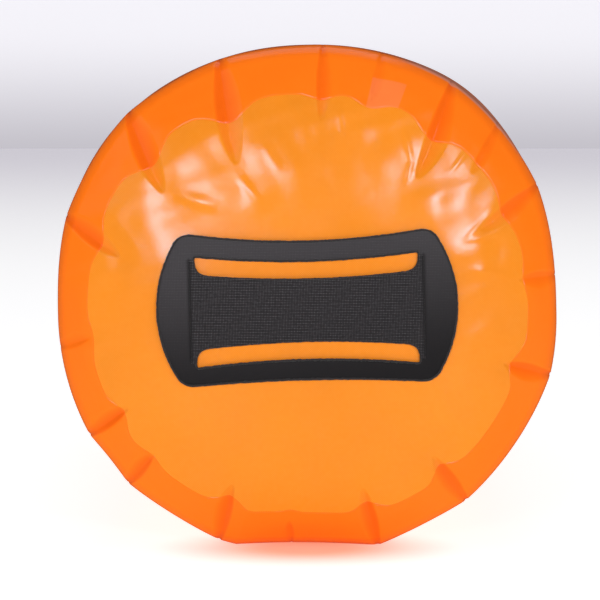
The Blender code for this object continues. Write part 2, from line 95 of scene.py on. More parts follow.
class Nodes:
    """A short way to wire a material's nodes."""

    def __init__(self, name):
        self.material = bpy.data.materials.new(name)
        self.material.use_nodes = True
        self.tree = self.material.node_tree
        self.shader = self.tree.nodes["Principled BSDF"]

    def add(self, kind, values=None, **settings):
        node = self.tree.nodes.new(kind)
        for key, value in settings.items():
            setattr(node, key, value)
        for key, value in (values or {}).items():
            if isinstance(value, bpy.types.NodeSocket):
                self.tree.links.new(value, node.inputs[key])
            else:
                node.inputs[key].default_value = value
        return node

    def link(self, source, key):
        self.tree.links.new(source, self.shader.inputs[key])

    def set(self, **values):
        for key, value in values.items():
            self.shader.inputs[key.replace("_", " ")].default_value = value

    def math(self, operation, first, second=0.0):
        return self.add("ShaderNodeMath", {0: first, 1: second}, operation=operation).outputs[0]

    def times(self, first, second):
        return self.math("MULTIPLY", first, second)

    def mix(self, share, first, second):
        node = self.add("ShaderNodeMix", data_type="RGBA")
        for socket, value in ((node.inputs[0], share), (node.inputs[6], first), (node.inputs[7], second)):
            if isinstance(value, bpy.types.NodeSocket):
                self.tree.links.new(value, socket)
            else:
                socket.default_value = value
        return node.outputs[2]

    def ramp(self, source, low, high, start=0.0, stop=1.0):
        return self.add(
            "ShaderNodeMapRange",
            {"Value": source, "From Min": low, "From Max": high, "To Min": start, "To Max": stop},
            interpolation_type="SMOOTHSTEP",
        ).outputs[0]

    def noise(self, vector, scale, detail=2.0, roughness=0.5):
        values = {"Vector": vector, "Scale": scale, "Detail": detail, "Roughness": roughness}
        return self.add("ShaderNodeTexNoise", values).outputs["Fac"]

    def attribute(self, name):
        return self.add("ShaderNodeAttribute", attribute_name=name).outputs["Fac"]

    def bump(self, height, distance, strength=1.0, normal=None):
        values = {"Height": height, "Distance": distance, "Strength": strength}
        if normal:
            values["Normal"] = normal
        return self.add("ShaderNodeBump", values).outputs["Normal"]


def wave_scale(period):
    """Scale at which a wave texture repeats every period metres."""
    return 2 * pi / 20 / period


def weave_height(nodes, uv, period, turned):
    """Over-and-under threads: two crossing wave textures, turned to lie on the bias."""
    turn = nodes.add("ShaderNodeMapping", {"Vector": uv, "Rotation": (0, 0, turned)}).outputs[0]
    waves = []
    for direction in ("X", "Y"):
        values = {"Vector": turn, "Scale": wave_scale(period), "Distortion": 0.0}
        waves.append(nodes.add("ShaderNodeTexWave", values, bands_direction=direction).outputs["Fac"])
    return nodes.times(*waves)


def coated_cloth(name, base, deep, shade, pale, roughness, ior, weave):
    """Woven cloth under a clear film, tinted by its cloth layers, painted shade in its pleats, and a paler
    seam tone with a painted grey reflection, each from an attribute.
    """
    nodes = Nodes(name)
    uv = nodes.add("ShaderNodeUVMap", uv_map="cloth").outputs[0]
    mottle = nodes.noise(uv, 22, 3)
    grain = nodes.noise(uv, 420, 2, 0.6)
    colour = nodes.mix(nodes.ramp(mottle, 0.3, 0.7), (*base, 1), (*(c * 0.93 for c in base), 1))
    colour = nodes.mix(nodes.attribute("layers"), colour, (*deep, 1))
    # painted shade in the pleats' grooves, partly the deeper colour of doubled cloth
    colour = nodes.mix(nodes.attribute("fold_shade"), colour, (*shade, 1))
    # the seam's paler tone, and a painted grey reflection where the tube bulges past the rim
    colour = nodes.mix(nodes.attribute("pale"), colour, (*pale, 1))
    threads = weave_height(nodes, uv, WEAVE_SIZE, radians(45))
    speck = nodes.times(threads, nodes.ramp(grain, 0.25, 0.8, 0.4, 1.0))
    speck = nodes.times(speck, weave)
    lighter = nodes.mix(0.55, (*base, 1), (1, 0.54, 0.12, 1))
    colour = nodes.mix(nodes.times(speck, 0.45), colour, lighter)
    nodes.link(colour, "Base Color")
    rough = nodes.ramp(nodes.noise(uv, 60, 2), 0.3, 0.7, roughness * 0.92, roughness * 1.08)
    nodes.link(rough, "Roughness")
    creases = nodes.bump(nodes.noise(uv, 55, 3, 0.55), 0.25 * MM, 0.5)
    creases = nodes.bump(nodes.noise(uv, 150, 2, 0.5), 0.10 * MM, 0.5, creases)
    nodes.link(nodes.bump(threads, 0.020 * MM * weave, 0.8, creases), "Normal")
    nodes.set(IOR=ior, Specular_Tint=(0.36, 0.74, 1.0, 1))
    return nodes.material


def black_cloth(name, woven, sheen, roughness, top_left_light, weld_crease_shade):
    """Black cloth, woven or pressed flat, with painted light: lighter toward its top left and darker toward
    its bottom right, and painted shade along the creases at its welds.
    """
    nodes = Nodes(name)
    uv = nodes.add("ShaderNodeUVMap", uv_map="cloth").outputs[0]
    fibre = nodes.noise(uv, 900, 3, 0.6)
    threads = weave_height(nodes, uv, WEAVE_SIZE, 0.0)
    values = {"Vector": uv, "Scale": wave_scale(1.05 * MM)}
    rows = nodes.add("ShaderNodeTexWave", values, bands_direction="Y")
    dark, light = (0.008, 0.0068, 0.008, 1), (0.085, 0.078, 0.087, 1)
    share = nodes.times(nodes.ramp(fibre, 0.3, 0.75, 0.25, 1.0), threads)
    share = nodes.times(share, nodes.ramp(rows.outputs["Fac"], 0.0, 1.0, 0.45, 1.15))
    share = nodes.math("ADD", nodes.times(share, 1.8 * woven), 0.205 * (1 - woven))
    place = nodes.add("ShaderNodeSeparateXYZ", {"Vector": uv})
    # painted light: lighter toward the top left and darker toward the bottom right, as the light falls on the
    # grip
    toward_top_left = nodes.math("SUBTRACT", place.outputs["Y"], nodes.times(place.outputs["X"], 0.15))
    share = nodes.times(share, nodes.ramp(toward_top_left, -32 * MM, 32 * MM, 1 - top_left_light, 1 + top_left_light))
    # painted shade along the crease at each weld, only between the slits
    from_weld = nodes.math("SUBTRACT", nodes.math("ABSOLUTE", place.outputs["X"]), WELD_X)
    from_weld = nodes.math("ABSOLUTE", from_weld)
    past_slit = nodes.math("SUBTRACT", nodes.math("ABSOLUTE", place.outputs["Y"]), 20 * MM)
    from_weld = nodes.math("ADD", from_weld, nodes.math("MAXIMUM", past_slit, 0.0))
    share = nodes.times(share, nodes.ramp(from_weld, 0.2 * MM, 1.5 * MM, 1 - weld_crease_shade, 1.0))
    nodes.link(nodes.mix(share, dark, light), "Base Color")
    nodes.link(nodes.ramp(fibre, 0.2, 0.8, roughness - 0.05, roughness + 0.07), "Roughness")
    soft = nodes.bump(nodes.noise(uv, 150, 3, 0.6), 0.08 * MM, 0.6)
    nodes.link(nodes.bump(threads, (0.02 + 0.13 * woven) * MM, 0.9, soft), "Normal")
    nodes.set(Sheen_Weight=sheen, Sheen_Roughness=0.5, IOR=1.25)
    return nodes.material


def webbing_cloth(name):
    """Ribbed webbing: fine herringbone between the raised cords that the mesh has."""
    nodes = Nodes(name)
    uv = nodes.add("ShaderNodeUVMap", uv_map="cloth").outputs[0]
    threads = weave_height(nodes, uv, 0.75 * MM, radians(38))
    fibre = nodes.noise(uv, 1100, 2, 0.6)
    share = nodes.times(threads, nodes.ramp(fibre, 0.2, 0.8, 0.3, 1.0))
    nodes.link(nodes.mix(share, (0.012, 0.012, 0.013, 1), (0.06, 0.06, 0.064, 1)), "Base Color")
    nodes.link(nodes.ramp(fibre, 0.2, 0.8, 0.62, 0.85), "Roughness")
    nodes.link(nodes.bump(threads, 0.2 * MM, 0.9), "Normal")
    nodes.set(Sheen_Weight=0.25, Sheen_Roughness=0.4, Specular_IOR_Level=0.35)
    return nodes.material


def moulded_plastic(name, colour, roughness, grain=0.05):
    """Moulded plastic with a fine spark-eroded texture and slight handling marks."""
    nodes = Nodes(name)
    place = nodes.add("ShaderNodeTexCoord").outputs["Object"]
    fine = nodes.noise(place, 2600, 2, 0.6)
    broad = nodes.noise(place, 90, 3, 0.6)
    lighter = tuple(min(1, c * 1.35 + 0.006) for c in colour)
    nodes.link(nodes.mix(nodes.ramp(broad, 0.4, 0.8), (*colour, 1), (*lighter, 1)), "Base Color")
    nodes.link(nodes.ramp(broad, 0.3, 0.75, roughness - 0.06, roughness + 0.08), "Roughness")
    nodes.link(nodes.bump(fine, grain * MM, 0.7), "Normal")
    nodes.set(Specular_IOR_Level=0.5)
    return nodes.material


def thread_material(name, colour):
    nodes = Nodes(name)
    place = nodes.add("ShaderNodeTexCoord").outputs["Object"]
    twist = nodes.noise(place, 3000, 2)
    lighter = tuple(c * 2.2 for c in colour)
    nodes.link(nodes.mix(twist, (*colour, 1), (*lighter, 1)), "Base Color")
    nodes.link(nodes.bump(twist, 0.06 * MM, 0.8), "Normal")
    nodes.set(Roughness=0.65, Sheen_Weight=0.2)
    return nodes.material


WEAVE_SIZE = 0.62 * MM
WELD_X = 46.5 * MM
PANEL_BASE = (0.86, 0.240, 0.005)
# Painted pleat shade on the panel
PANEL_FOLD_SHADE = (0.86, 0.195, 0.004)
RING_BASE = (0.96, 0.190, 0.006)
RING_DEEP = (0.96, 0.168, 0.004)
# Painted pleat shade on the hem and tube
RING_FOLD_SHADE = (0.86, 0.120, 0.002)
# The seam's paler tone, and a painted grey reflection where the tube bulges past the rim
SEAM_TONE_AND_GREY_REFLECTION = (0.70, 0.270, 0.180)
PANEL = coated_cloth("panel_cloth", PANEL_BASE, RING_BASE, PANEL_FOLD_SHADE, SEAM_TONE_AND_GREY_REFLECTION, 0.18, 1.50, weave=1.0)
HEM = coated_cloth("hem_cloth", RING_BASE, RING_DEEP, RING_FOLD_SHADE, SEAM_TONE_AND_GREY_REFLECTION, 0.20, 1.30, weave=0.2)
TUBE = coated_cloth("tube_cloth", RING_BASE, RING_DEEP, RING_FOLD_SHADE, SEAM_TONE_AND_GREY_REFLECTION, 0.48, 1.28, weave=0.2)
PRESSED = black_cloth("grip_pressed", 0.12, 0.04, 0.45, top_left_light=1.0, weld_crease_shade=0.7)
WOVEN = black_cloth("grip_woven", 1.0, 0.25, 0.62, top_left_light=0.25, weld_crease_shade=0.9)
EDGE_FIBRE = thread_material("grip_edge_fibre", (0.006, 0.005, 0.005))
WEBBING = webbing_cloth("tab_webbing")
STITCH = thread_material("bartack_thread", (0.016, 0.016, 0.018))
BUCKLE = moulded_plastic("buckle_plastic", (0.020, 0.020, 0.022), 0.42)
STRIP = moulded_plastic("strip_plastic", (0.62, 0.60, 0.56), 0.45)
TAPE = moulded_plastic("seam_tape_film", (0.78, 0.20, 0.04), 0.38)


# ---------------------------------------------------------------- mesh helpers


def in_scene(name, data):
    made = bpy.data.objects.new(name, data)
    bpy.context.scene.collection.objects.link(made)
    return made


def evaluated_mesh(thing):
    graph = bpy.context.evaluated_depsgraph_get()
    return bpy.data.meshes.new_from_object(thing.evaluated_get(graph))


def run_lengths(points):
    """Distance along a line of points, at each of them."""
    return np.r_[0, np.cumsum(np.linalg.norm(np.diff(points, axis=0), axis=1))]


def grid_uv(girth, along):
    """UVs in metres for a grid, from its columns' and its rows' places."""
    return np.stack(np.broadcast_arrays(girth[None, :], along[:, None]), -1)


def tones(layers, fold_shade, pale):
    """The attributes that coated_cloth reads: cloth layers, painted pleat shade, and the seam's paler tone
    with a painted grey reflection.
    """
    return {"layers": layers, "fold_shade": fold_shade, "pale": pale}


def signed_power(value, power):
    return abs(value) ** power * (1 if value >= 0 else -1)


def smooth(t):
    t = np.clip(t, 0, 1)
    return t * t * (3 - 2 * t)


def fine_noise(points, scale, amplitude, seed):
    """Smooth noise read at points in metres, seeded by an offset."""
    shift = Vector((seed * 7.31, seed * 3.17, seed * 5.73))
    values = [noise.noise(Vector(p) * scale + shift) for p in points.reshape(-1, 3)]
    return np.array(values).reshape(points.shape[:2]) * amplitude


def grid_mesh(name, points, uv, finish, wrap=False, normals=None, attributes=None, flip=False):
    """A mesh from a grid of points [row, column], joined round if wrap is set, with UVs in metres."""
    rows, columns = points.shape[:2]
    index = np.arange(rows * columns).reshape(rows, columns)
    last = columns if wrap else columns - 1
    right = (np.arange(last) + 1) % columns
    corners = [index[:-1, :last], index[:-1][:, right], index[1:][:, right], index[1:, :last]]
    quads = np.stack(corners, axis=-1).reshape(-1, 4)
    if flip:
        quads = quads[:, ::-1]
    mesh = bpy.data.meshes.new(name)
    mesh.from_pydata(points.reshape(-1, 3).tolist(), [], quads.tolist())
    layer = mesh.uv_layers.new(name="cloth")
    across = uv.reshape(-1, 2)[quads.reshape(-1)]
    if wrap:
        seam = np.array(across).reshape(-1, 4, 2)
        span = uv[:, -1, 0].max() * columns / (columns - 1)
        wide = seam[..., 0].max(1) - seam[..., 0].min(1) > span / 2
        low = wide[:, None] & (seam[..., 0] < span / 2)
        seam[..., 0][low] += span
        across = seam.reshape(-1, 2)
    layer.data.foreach_set("uv", across.astype(np.float32).reshape(-1))
    for key, values in (attributes or {}).items():
        made = mesh.attributes.new(key, "FLOAT", "POINT")
        made.data.foreach_set("value", values.reshape(-1).astype(np.float32))
    mesh.shade_smooth()
    mesh.materials.append(finish)
    if normals is not None:
        mesh.normals_split_custom_set_from_vertices(normals.reshape(-1, 3).tolist())
    return in_scene(name, mesh)


def grid_normals(points, wrap):
    """Outward unit normals of a grid whose rows run along the bag and whose columns run round it."""
    if wrap:
        around = np.roll(points, -1, 1) - np.roll(points, 1, 1)
    else:
        around = np.gradient(points, axis=1)
    along = np.gradient(points, axis=0)
    normal = np.cross(along, around)
    return normal / np.maximum(np.linalg.norm(normal, axis=-1, keepdims=True), 1e-12)


def sweep(name, path, across, up, section, finish):
    """A closed section, given as points (across, up), swept along a path and capped at both ends."""
    path, across, up, section = (np.asarray(a, float) for a in (path, across, up, section))
    points = (
        path[:, None]
        + across[:, None] * section[None, :, 0, None]
        + up[:, None] * section[None, :, 1, None]
    )
    count = len(section)
    girth = run_lengths(np.vstack([section, section[:1]]))[:count]
    piece = grid_mesh(name, points, grid_uv(girth, run_lengths(path)), finish, wrap=True)
    body = bmesh.new()
    body.from_mesh(piece.data)
    body.verts.ensure_lookup_table()
    first = [body.verts[k] for k in range(count)]
    last = [body.verts[(len(path) - 1) * count + k] for k in range(count)]
    for ring in (first, last[::-1]):
        body.faces.new(ring)
    bmesh.ops.recalc_face_normals(body, faces=body.faces)
    body.to_mesh(piece.data)
    body.free()
    return piece


def solid(piece, thickness, offset=-1):
    """Gives a surface its cloth thickness, and keeps the result as its mesh."""
    walls = piece.modifiers.new("thickness", "SOLIDIFY")
    walls.thickness = thickness
    walls.offset = offset
    mesh = evaluated_mesh(piece)
    piece.modifiers.clear()
    piece.data = mesh


# ---------------------------------------------------------------- the base: pleats, dome and hem

# Each pleat: its angle at the rim and at its tip (degrees from +X), how far in it reaches, its half-width
# and depth (mm), and how much further in the hem's edge comes there (share of the radius) over what
# half-width (degrees)
PLEATS = (
    (9, 10, 16, 3.4, 1.0, 0.014, 4),
    (29, 27, 27, 3.6, 1.5, 0.024, 5),
    (44, 41, 19, 2.6, 1.0, 0.004, 6),
    (57, 52, 34, 4.4, 2.3, 0.046, 5.5),
    (73, 73, 16, 2.4, 0.7, 0.030, 4.5),
    (86.5, 86, 25, 3.2, 1.5, 0.020, 4),
    (110, 115, 36, 5.2, 2.6, 0.056, 6),
    (132.5, 139, 29, 5.0, 2.4, 0.050, 5.5),
    (158, 162, 24, 4.0, 1.8, 0.028, 5),
    (188, 186, 14, 3.0, 0.8, 0.018, 5),
    (210, 208, 20, 3.6, 2.0, 0.036, 4.5),
    (224.5, 223, 17, 3.4, 1.8, 0.018, 4),
    (249.5, 247, 25, 3.6, 2.3, 0.042, 4.2),
    (266.5, 265.5, 12, 2.0, 1.0, 0.010, 2.2),
    (286.5, 287.5, 26, 3.6, 2.0, 0.044, 4),
    (309.5, 311, 24, 3.6, 2.0, 0.042, 4),
    (345.5, 346, 20, 3.8, 2.0, 0.038, 4.5),
)
# Soft patches of the panel that bulge or dish: share of the radius, degrees, radius and height in mm
SWELLS = (
    (0.60, 126, 13, 0.55),
    (0.52, 112, 7, 0.50),
    (0.66, 150, 10, -0.45),
    (0.62, 160, 11, 0.45),
    (0.58, 92, 9, 0.45),
    (0.66, 80, 9, -0.35),
    (0.66, 43, 10, 0.60),
    (0.60, 62, 9, -0.35),
    (0.70, 24, 8, 0.50),
    (0.74, 9, 9, 0.35),
    (0.68, 350, 9, 0.35),
    (0.72, 240, 12, 0.40),
    (0.74, 275, 13, 0.30),
    (0.74, 300, 10, 0.35),
    (0.76, 205, 10, 0.35),
)
# Thin ridges between the pleats: both ends as (degrees, share of the radius), half-width and height in mm
RIDGES = (
    ((63, 0.84), (57, 0.75), 1.1, 0.26),
    ((57, 0.75), (54.5, 0.67), 1.2, 0.30),
    ((47, 0.93), (46, 0.81), 1.0, 0.22),
    ((24, 0.84), (26.5, 0.69), 1.3, 0.26),
    ((30, 0.83), (27, 0.70), 1.3, 0.26),
    ((115, 0.63), (112, 0.50), 1.8, 0.30),
    ((136, 0.72), (128, 0.56), 2.4, 0.35),
    ((104, 0.72), (100, 0.60), 2.2, 0.30),
    ((82, 0.86), (79, 0.74), 1.4, 0.18),
    ((12, 0.80), (16, 0.68), 2.0, 0.30),
)
# How far the filled end stands over the section at the top, and where the tube bulges past the rim (degrees)
PUFF = 9.5 * MM
SLIVER_ANGLE = 53
RIM_RADIUS = 9 * MM
RIM_TILT = atan(DOME_RISE * DOME_POWER / SECTION_HALF_WIDTH)
RIM_TANGENT = RIM_RADIUS * tan((pi / 2 - RIM_TILT) / 2)
RIM_SHARE = 1 - RIM_TANGENT * cos(RIM_TILT) / SECTION_HALF_WIDTH
AROUND = 1200
ANGLES = np.arange(AROUND) * 360 / AROUND


def angle_gap(first, second):
    """Signed difference of two angles, in degrees."""
    return (first - second + 180) % 360 - 180


def pleats_at(angle, share, inward):
    """Depth in metres, and painted shade from 0 to 1 (darkest on each groove's shaded side, partly the deeper
    colour of its doubled cloth), of the pleats; inward is below 0 behind the rim.
    """
    depth = np.zeros(angle.shape)
    fold_shade = np.zeros(angle.shape)
    for rim, tip, reach, width, deepest, _, _ in PLEATS:
        t = inward / (reach * MM)
        line = rim + (tip - rim) * np.clip(t, -0.4, 1.4)
        off = np.radians(angle_gap(angle, line)) * SECTION_HALF_WIDTH * share / MM
        ahead = np.clip(t, 0, 1)
        behind = np.clip(-inward / (22 * MM), 0, 1)
        half = width * np.where(t > 0, 0.16 + 0.84 * np.sin(pi * ahead**0.9) ** 0.8, 0.16 + 0.9 * behind)
        half = half * np.where(off > 0, 0.75, 1.25)
        v = 1 - np.sqrt((off / half) ** 2 + 0.006) + 0.06
        groove = np.clip(v, 0, 1)
        along = np.where(t > 0, (1 - ahead) ** 0.6 * (0.22 + 1.5 * ahead), 0.22 * (1 - behind) ** 1.5)
        depth += deepest * MM * groove * along
        tail = np.exp(-((off / (1.3 * width)) ** 2)) * np.exp(-(((t - 1.1) / 0.4) ** 2))
        depth += 0.16 * deepest * MM * tail
        # painted shade: full on the groove's shaded side, fading across its lit side, and partly the deeper
        # colour of the doubled cloth
        shaded = np.where(off > 0, 1.0, np.exp(-((off / (0.55 * half)) ** 2)) * 0.7 + 0.3)
        deep = smooth(groove * 2.4) * shaded * smooth((1 - ahead) * 5) * smooth(1 - behind)
        fold_shade = np.maximum(fold_shade, deep * min(1, deepest / 1.8))
    return depth, fold_shade


def swells_at(x, z, share):
    """Slow bulges of the stretched panel, and small buckles toward its edge."""
    height = np.zeros(x.shape)
    for place, angle, radius, rise in SWELLS:
        at_x = SECTION_HALF_WIDTH * place * cos(radians(angle))
        at_z = SECTION_CENTRE_Z + SECTION_HALF_HEIGHT * place * sin(radians(angle))
        height += rise * MM * np.exp(-((x - at_x) ** 2 + (z - at_z) ** 2) / (radius * MM) ** 2)
    for first, last, width, rise in RIDGES:
        ends = []
        for angle, place in (first, last):
            turn = radians(angle)
            reach = np.array((SECTION_HALF_WIDTH * cos(turn), SECTION_HALF_HEIGHT * sin(turn)))
            ends.append(reach * place)
        run = ends[1] - ends[0]
        from_x = x - ends[0][0]
        from_z = z - SECTION_CENTRE_Z - ends[0][1]
        t = np.clip((from_x * run[0] + from_z * run[1]) / (run @ run), 0, 1)
        off = np.hypot(from_x - t * run[0], from_z - t * run[1])
        crest = np.sin(pi * np.clip(t, 0.02, 0.98)) ** 0.5
        height += rise * MM * np.exp(-((off / (width * MM)) ** 2)) * crest
    u, v = x / MM, z / MM
    buckle = np.sin(u * 0.21 + 1.3 * np.sin(v * 0.11) + 0.5) * np.sin(v * 0.17 + 1.1 * np.sin(u * 0.13))
    buckle += 0.6 * np.sin(u * 0.39 - v * 0.22 + 1.2 * np.sin(v * 0.2)) * np.sin(u * 0.16 + v * 0.31)
    return height + buckle * 0.16 * MM * smooth((share - 0.42) / 0.3)


def fullness(angle):
    """How far the section's upper half swells past an ellipse, as a factor of its radius."""
    powers = np.abs(np.cos(angle)) ** SECTION_FULLNESS + np.abs(np.sin(angle)) ** SECTION_FULLNESS
    return np.where(np.sin(angle) > 0, powers ** (-1 / SECTION_FULLNESS), 1.0)


def chord(angle):
    """0 at each deep pleat and 1 midway between neighbours."""
    marks = np.array(sorted(p[0] for p in PLEATS if p[4] > 1.2))
    low = np.searchsorted(marks, angle % 360, side="right") - 1
    start = marks[low % len(marks)]
    span = (marks[(low + 1) % len(marks)] - start) % 360
    return np.sin(pi * ((angle - start) % 360) / span)


def skin(angle, share, y, tilt, inward, lift):
    """Points of the bag's outside, before or behind the rim, with pleats and swells; lift stands them off."""
    turn = np.radians(angle)
    swell = fullness(turn)
    behind = np.clip(-inward / (45 * MM), 0, 1)
    top = np.clip(np.sin(turn), 0, 1) ** 2
    back = np.clip(-inward / TUBE_LENGTH, 0, 1)
    puff = PUFF * top * np.clip(share, 0, 1) ** 3 * (1 - smooth(back))
    x = SECTION_HALF_WIDTH * swell * share * np.cos(turn)
    z = SECTION_HALF_HEIGHT * swell * share * np.sin(turn) + puff
    z = np.maximum(z, -SECTION_CENTRE_Z * np.maximum(share, 0.2))
    depth, fold_shade = pleats_at(angle, share, inward)
    flat = (1.1 - 0.7 * top) * MM * chord(angle) * smooth((share - 0.88) / 0.1) * (1 - smooth(behind * 2.4))
    bulge = 2.4 * MM * np.exp(-((angle_gap(angle, SLIVER_ANGLE) / 12) ** 2))
    pinch = 1.6 * MM * np.exp(-((angle_gap(angle, 118) / 22) ** 2)) * smooth((share - 0.75) / 0.2)
    slack = bulge * np.sin(pi * behind * 0.5) * np.exp(inward / (90 * MM))
    depth = depth + flat - swells_at(x, z + SECTION_CENTRE_Z, share) * smooth((0.97 - share) / 0.1) - lift
    depth = depth - slack * (inward < 0) + pinch * (1 - back)
    x = x - np.sin(tilt) * depth * np.cos(turn)
    z = z - np.sin(tilt) * depth * np.sin(turn)
    y = y + np.cos(tilt) * depth
    return np.stack([x, y, np.maximum(SECTION_CENTRE_Z + z, 0.2 * MM)], -1), fold_shade


def dome_part(angle, share, lift):
    """Points on the domed face at given shares of the radius."""
    share = share + 0 * angle
    angle = angle + 0 * share
    y = RIM_Y - DOME_RISE * (1 - share**DOME_POWER)
    tilt = np.arctan(DOME_RISE * DOME_POWER * share ** (DOME_POWER - 1) / SECTION_HALF_WIDTH)
    return skin(angle, share, y, tilt, (1 - share) * SECTION_HALF_WIDTH, lift)


def rim_part(angle, step, lift):
    """Points round the rim's turn, from the face at step 0 to the tube at step 1."""
    tilt = RIM_TILT + (pi / 2 - RIM_TILT) * step + 0 * angle
    share = 1 - RIM_RADIUS * (1 - np.sin(tilt)) / SECTION_HALF_WIDTH
    y = RIM_Y + RIM_TANGENT - RIM_RADIUS * np.cos(tilt)
    inward = (1 - RIM_SHARE) * SECTION_HALF_WIDTH * (1 - step) + 0 * angle
    return skin(angle + 0 * tilt, share, y, tilt, inward, lift)


def tube_part(angle, back, lift):
    """Points on the tube, back from the rim's turn."""
    shape = 0 * angle + 0 * back
    y = RIM_Y + RIM_TANGENT + back + shape
    return skin(angle + shape, 1 + shape, y, pi / 2 + shape, shape - back, lift)


def hem_edge(angle):
    """Share of the radius where the turned-in hem ends: further in at the pleats."""
    turn = np.radians(angle)
    edge = 0.868 - 0.029 * np.abs(np.sin(turn)) ** 1.3
    for rim, tip, reach, _, _, bump, wide in PLEATS:
        at = rim + (tip - rim) * min(1, 13 / reach)
        edge = edge - bump * np.exp(-((np.abs(angle_gap(angle, at)) / wide) ** 2.2))
    return edge + 0.003 * np.sin(5 * turn + 1)


PANEL_SHARE = 0.955


def make_panel():
    """The round base panel, which goes on under the hem at its edge."""
    edge = hem_edge(ANGLES)[None, :]
    open_steps = np.r_[0.004, np.linspace(0.03, 0.5, 40), np.linspace(0.51, 1, 84)][:, None]
    open_points, open_fold_shade = dome_part(ANGLES[None, :], edge * open_steps, 0)
    hidden_steps = np.linspace(0, 1, 8)[1:, None]
    hidden_shares = edge + (PANEL_SHARE - edge) * hidden_steps
    sunk = -0.5 * MM * smooth(hidden_steps * 2)
    hidden_points, hidden_fold_shade = dome_part(ANGLES[None, :], hidden_shares, sunk)
    points = np.concatenate([open_points, hidden_points])
    fold_shade = np.concatenate([open_fold_shade, hidden_fold_shade])
    panel = grid_mesh(
        "base_panel_cloth",
        points,
        points[..., [0, 2]],
        PANEL,
        wrap=True,
        attributes=tones(0 * fold_shade, fold_shade, 0 * fold_shade),
        flip=True,
    )
    # each corner takes its own place as its UV, so no face is stretched where the columns meet
    mesh = panel.data
    corner_points = [mesh.vertices[loop.vertex_index].co for loop in mesh.loops]
    mesh.uv_layers["cloth"].data.foreach_set("uv", [c for p in corner_points for c in (p.x, p.z)])
    solid(panel, FABRIC, offset=-1)
    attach(panel, "bag")
    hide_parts("base_panel")


# ---------------------------------------------------------------- rolled mouth


def loop_station(distance):
    """Position and heading at a distance along one half of the loop, from its middle."""
    x = y = heading = 0.0
    left = distance
    for radius, angle in (*ROLL_ARCS, TAB_ARC):
        turn = min(left / radius, angle)
        x += radius * (sin(heading + turn) - sin(heading))
        y += radius * (cos(heading) - cos(heading + turn))
        heading += turn
        left -= turn * radius
        if left <= 0:
            return x, y, heading
    return x + left * cos(heading), y + left * sin(heading), heading


ROLL_HALF_LENGTH = sum(radius * angle for radius, angle in ROLL_ARCS)
TAB_ARC_END = ROLL_HALF_LENGTH + TAB_ARC[0] * TAB_ARC[1]
BAR_DISTANCE = TAB_ARC_END + loop_station(TAB_ARC_END)[0] - BAR.x
EAR_REACH = 112 * MM
RIDGE_HALF_THICKNESS = 0.9 * MM


def loop_frames(distances, side):
    """Points on the loop's centreline, and the unit vectors that point away from its inside."""
    points, outward = [], []
    for distance in distances:
        x, y, heading = loop_station(abs(distance))
        sign = side if distance >= 0 else -side
        points.append((sign * x, RIDGE_Y + y, CLOSURE_Z))
        outward.append((sign * sin(heading), -cos(heading), 0))
    return np.array(points), np.array(outward)


def mouth_points(angle):
    """Where the shoulder's cloth meets the roll, for angles round the tube in radians."""
    half = np.mod(angle, 2 * pi)
    share = 1 - 2 * np.mod(half, pi) / pi
    share = np.where(half < pi, share, -share)
    found = []
    for s, a in zip(share, half):
        points, outward = loop_frames([abs(s) * EAR_REACH], 1 if s >= 0 else -1)
        place = points[0] + outward[0] * (ROLL_THICKNESS / 2 - 0.2 * MM)
        place[2] += RIDGE_HALF_THICKNESS * signed_power(sin(a), 0.5)
        found.append(place)
    return np.array(found)


HEM_STEPS = 30
RIM_STEPS = 10
REAR_OF_HEM = 24 * MM


def bag_grid():
    """The outer cloth as one grid from hem to mouth: points, painted pleat shade, and the rows where each
    part ends.
    """
    around = ANGLES[None, :]
    edge = hem_edge(ANGLES)[None, :]
    steps = np.linspace(0, 1, HEM_STEPS)[:, None]
    rise = np.where(steps > 0, LIFT, -0.05 * MM)
    hem, hem_fold_shade = dome_part(around, edge + (RIM_SHARE - edge) * steps, rise)
    rim, rim_fold_shade = rim_part(around, np.linspace(0, 1, RIM_STEPS)[1:, None], LIFT)
    length = TUBE_LENGTH - RIM_TANGENT
    near = np.linspace(0, REAR_OF_HEM, 17)[1:, None]
    tube_near, near_fold_shade = tube_part(around, near, LIFT)
    far = np.linspace(REAR_OF_HEM, length, 56)[1:, None]
    tube_far, far_fold_shade = tube_part(around, far, LIFT)
    rows = np.concatenate([hem, rim, tube_near, tube_far])
    fold_shades = np.concatenate([hem_fold_shade, rim_fold_shade, near_fold_shade, far_fold_shade])
    hem_end = HEM_STEPS + RIM_STEPS - 1 + 16
    tube_end = len(rows)

    start = rows[-1]
    end = mouth_points(np.radians(ANGLES))
    leave = start + np.array([0, 60 * MM, 0])
    arrive = end + (start - end) * np.array([0.5, 0.12, 0.5])
    shoulder = []
    for t in np.linspace(0, 1, 61)[1:]:
        back = 1 - t
        shoulder.append(back**3 * start + 3 * back**2 * t * leave + 3 * back * t**2 * arrive + t**3 * end)
    rows = np.concatenate([rows, np.array(shoulder)])
    fold_shades = np.concatenate([fold_shades, np.zeros((60, AROUND))])
    return rows, fold_shades, hem_end, tube_end


# Gathers of the shoulder: angle at the tube's end, depth and half-width (mm and degrees), and turn (degrees)
GATHERS = (
    (20, 4.5, 9, 8),
    (48, 4.0, 8, 4),
    (74, 3.0, 8, 2),
    (103, 3.2, 9, -3),
    (130, 4.2, 8, -5),
    (159, 4.5, 9, -8),
    (201, 4.5, 9, 8),
    (232, 4.0, 8, 4),
    (262, 2.8, 8, 2),
    (287, 3.2, 8, -3),
    (316, 4.2, 9, -5),
    (341, 4.5, 9, -8),
)


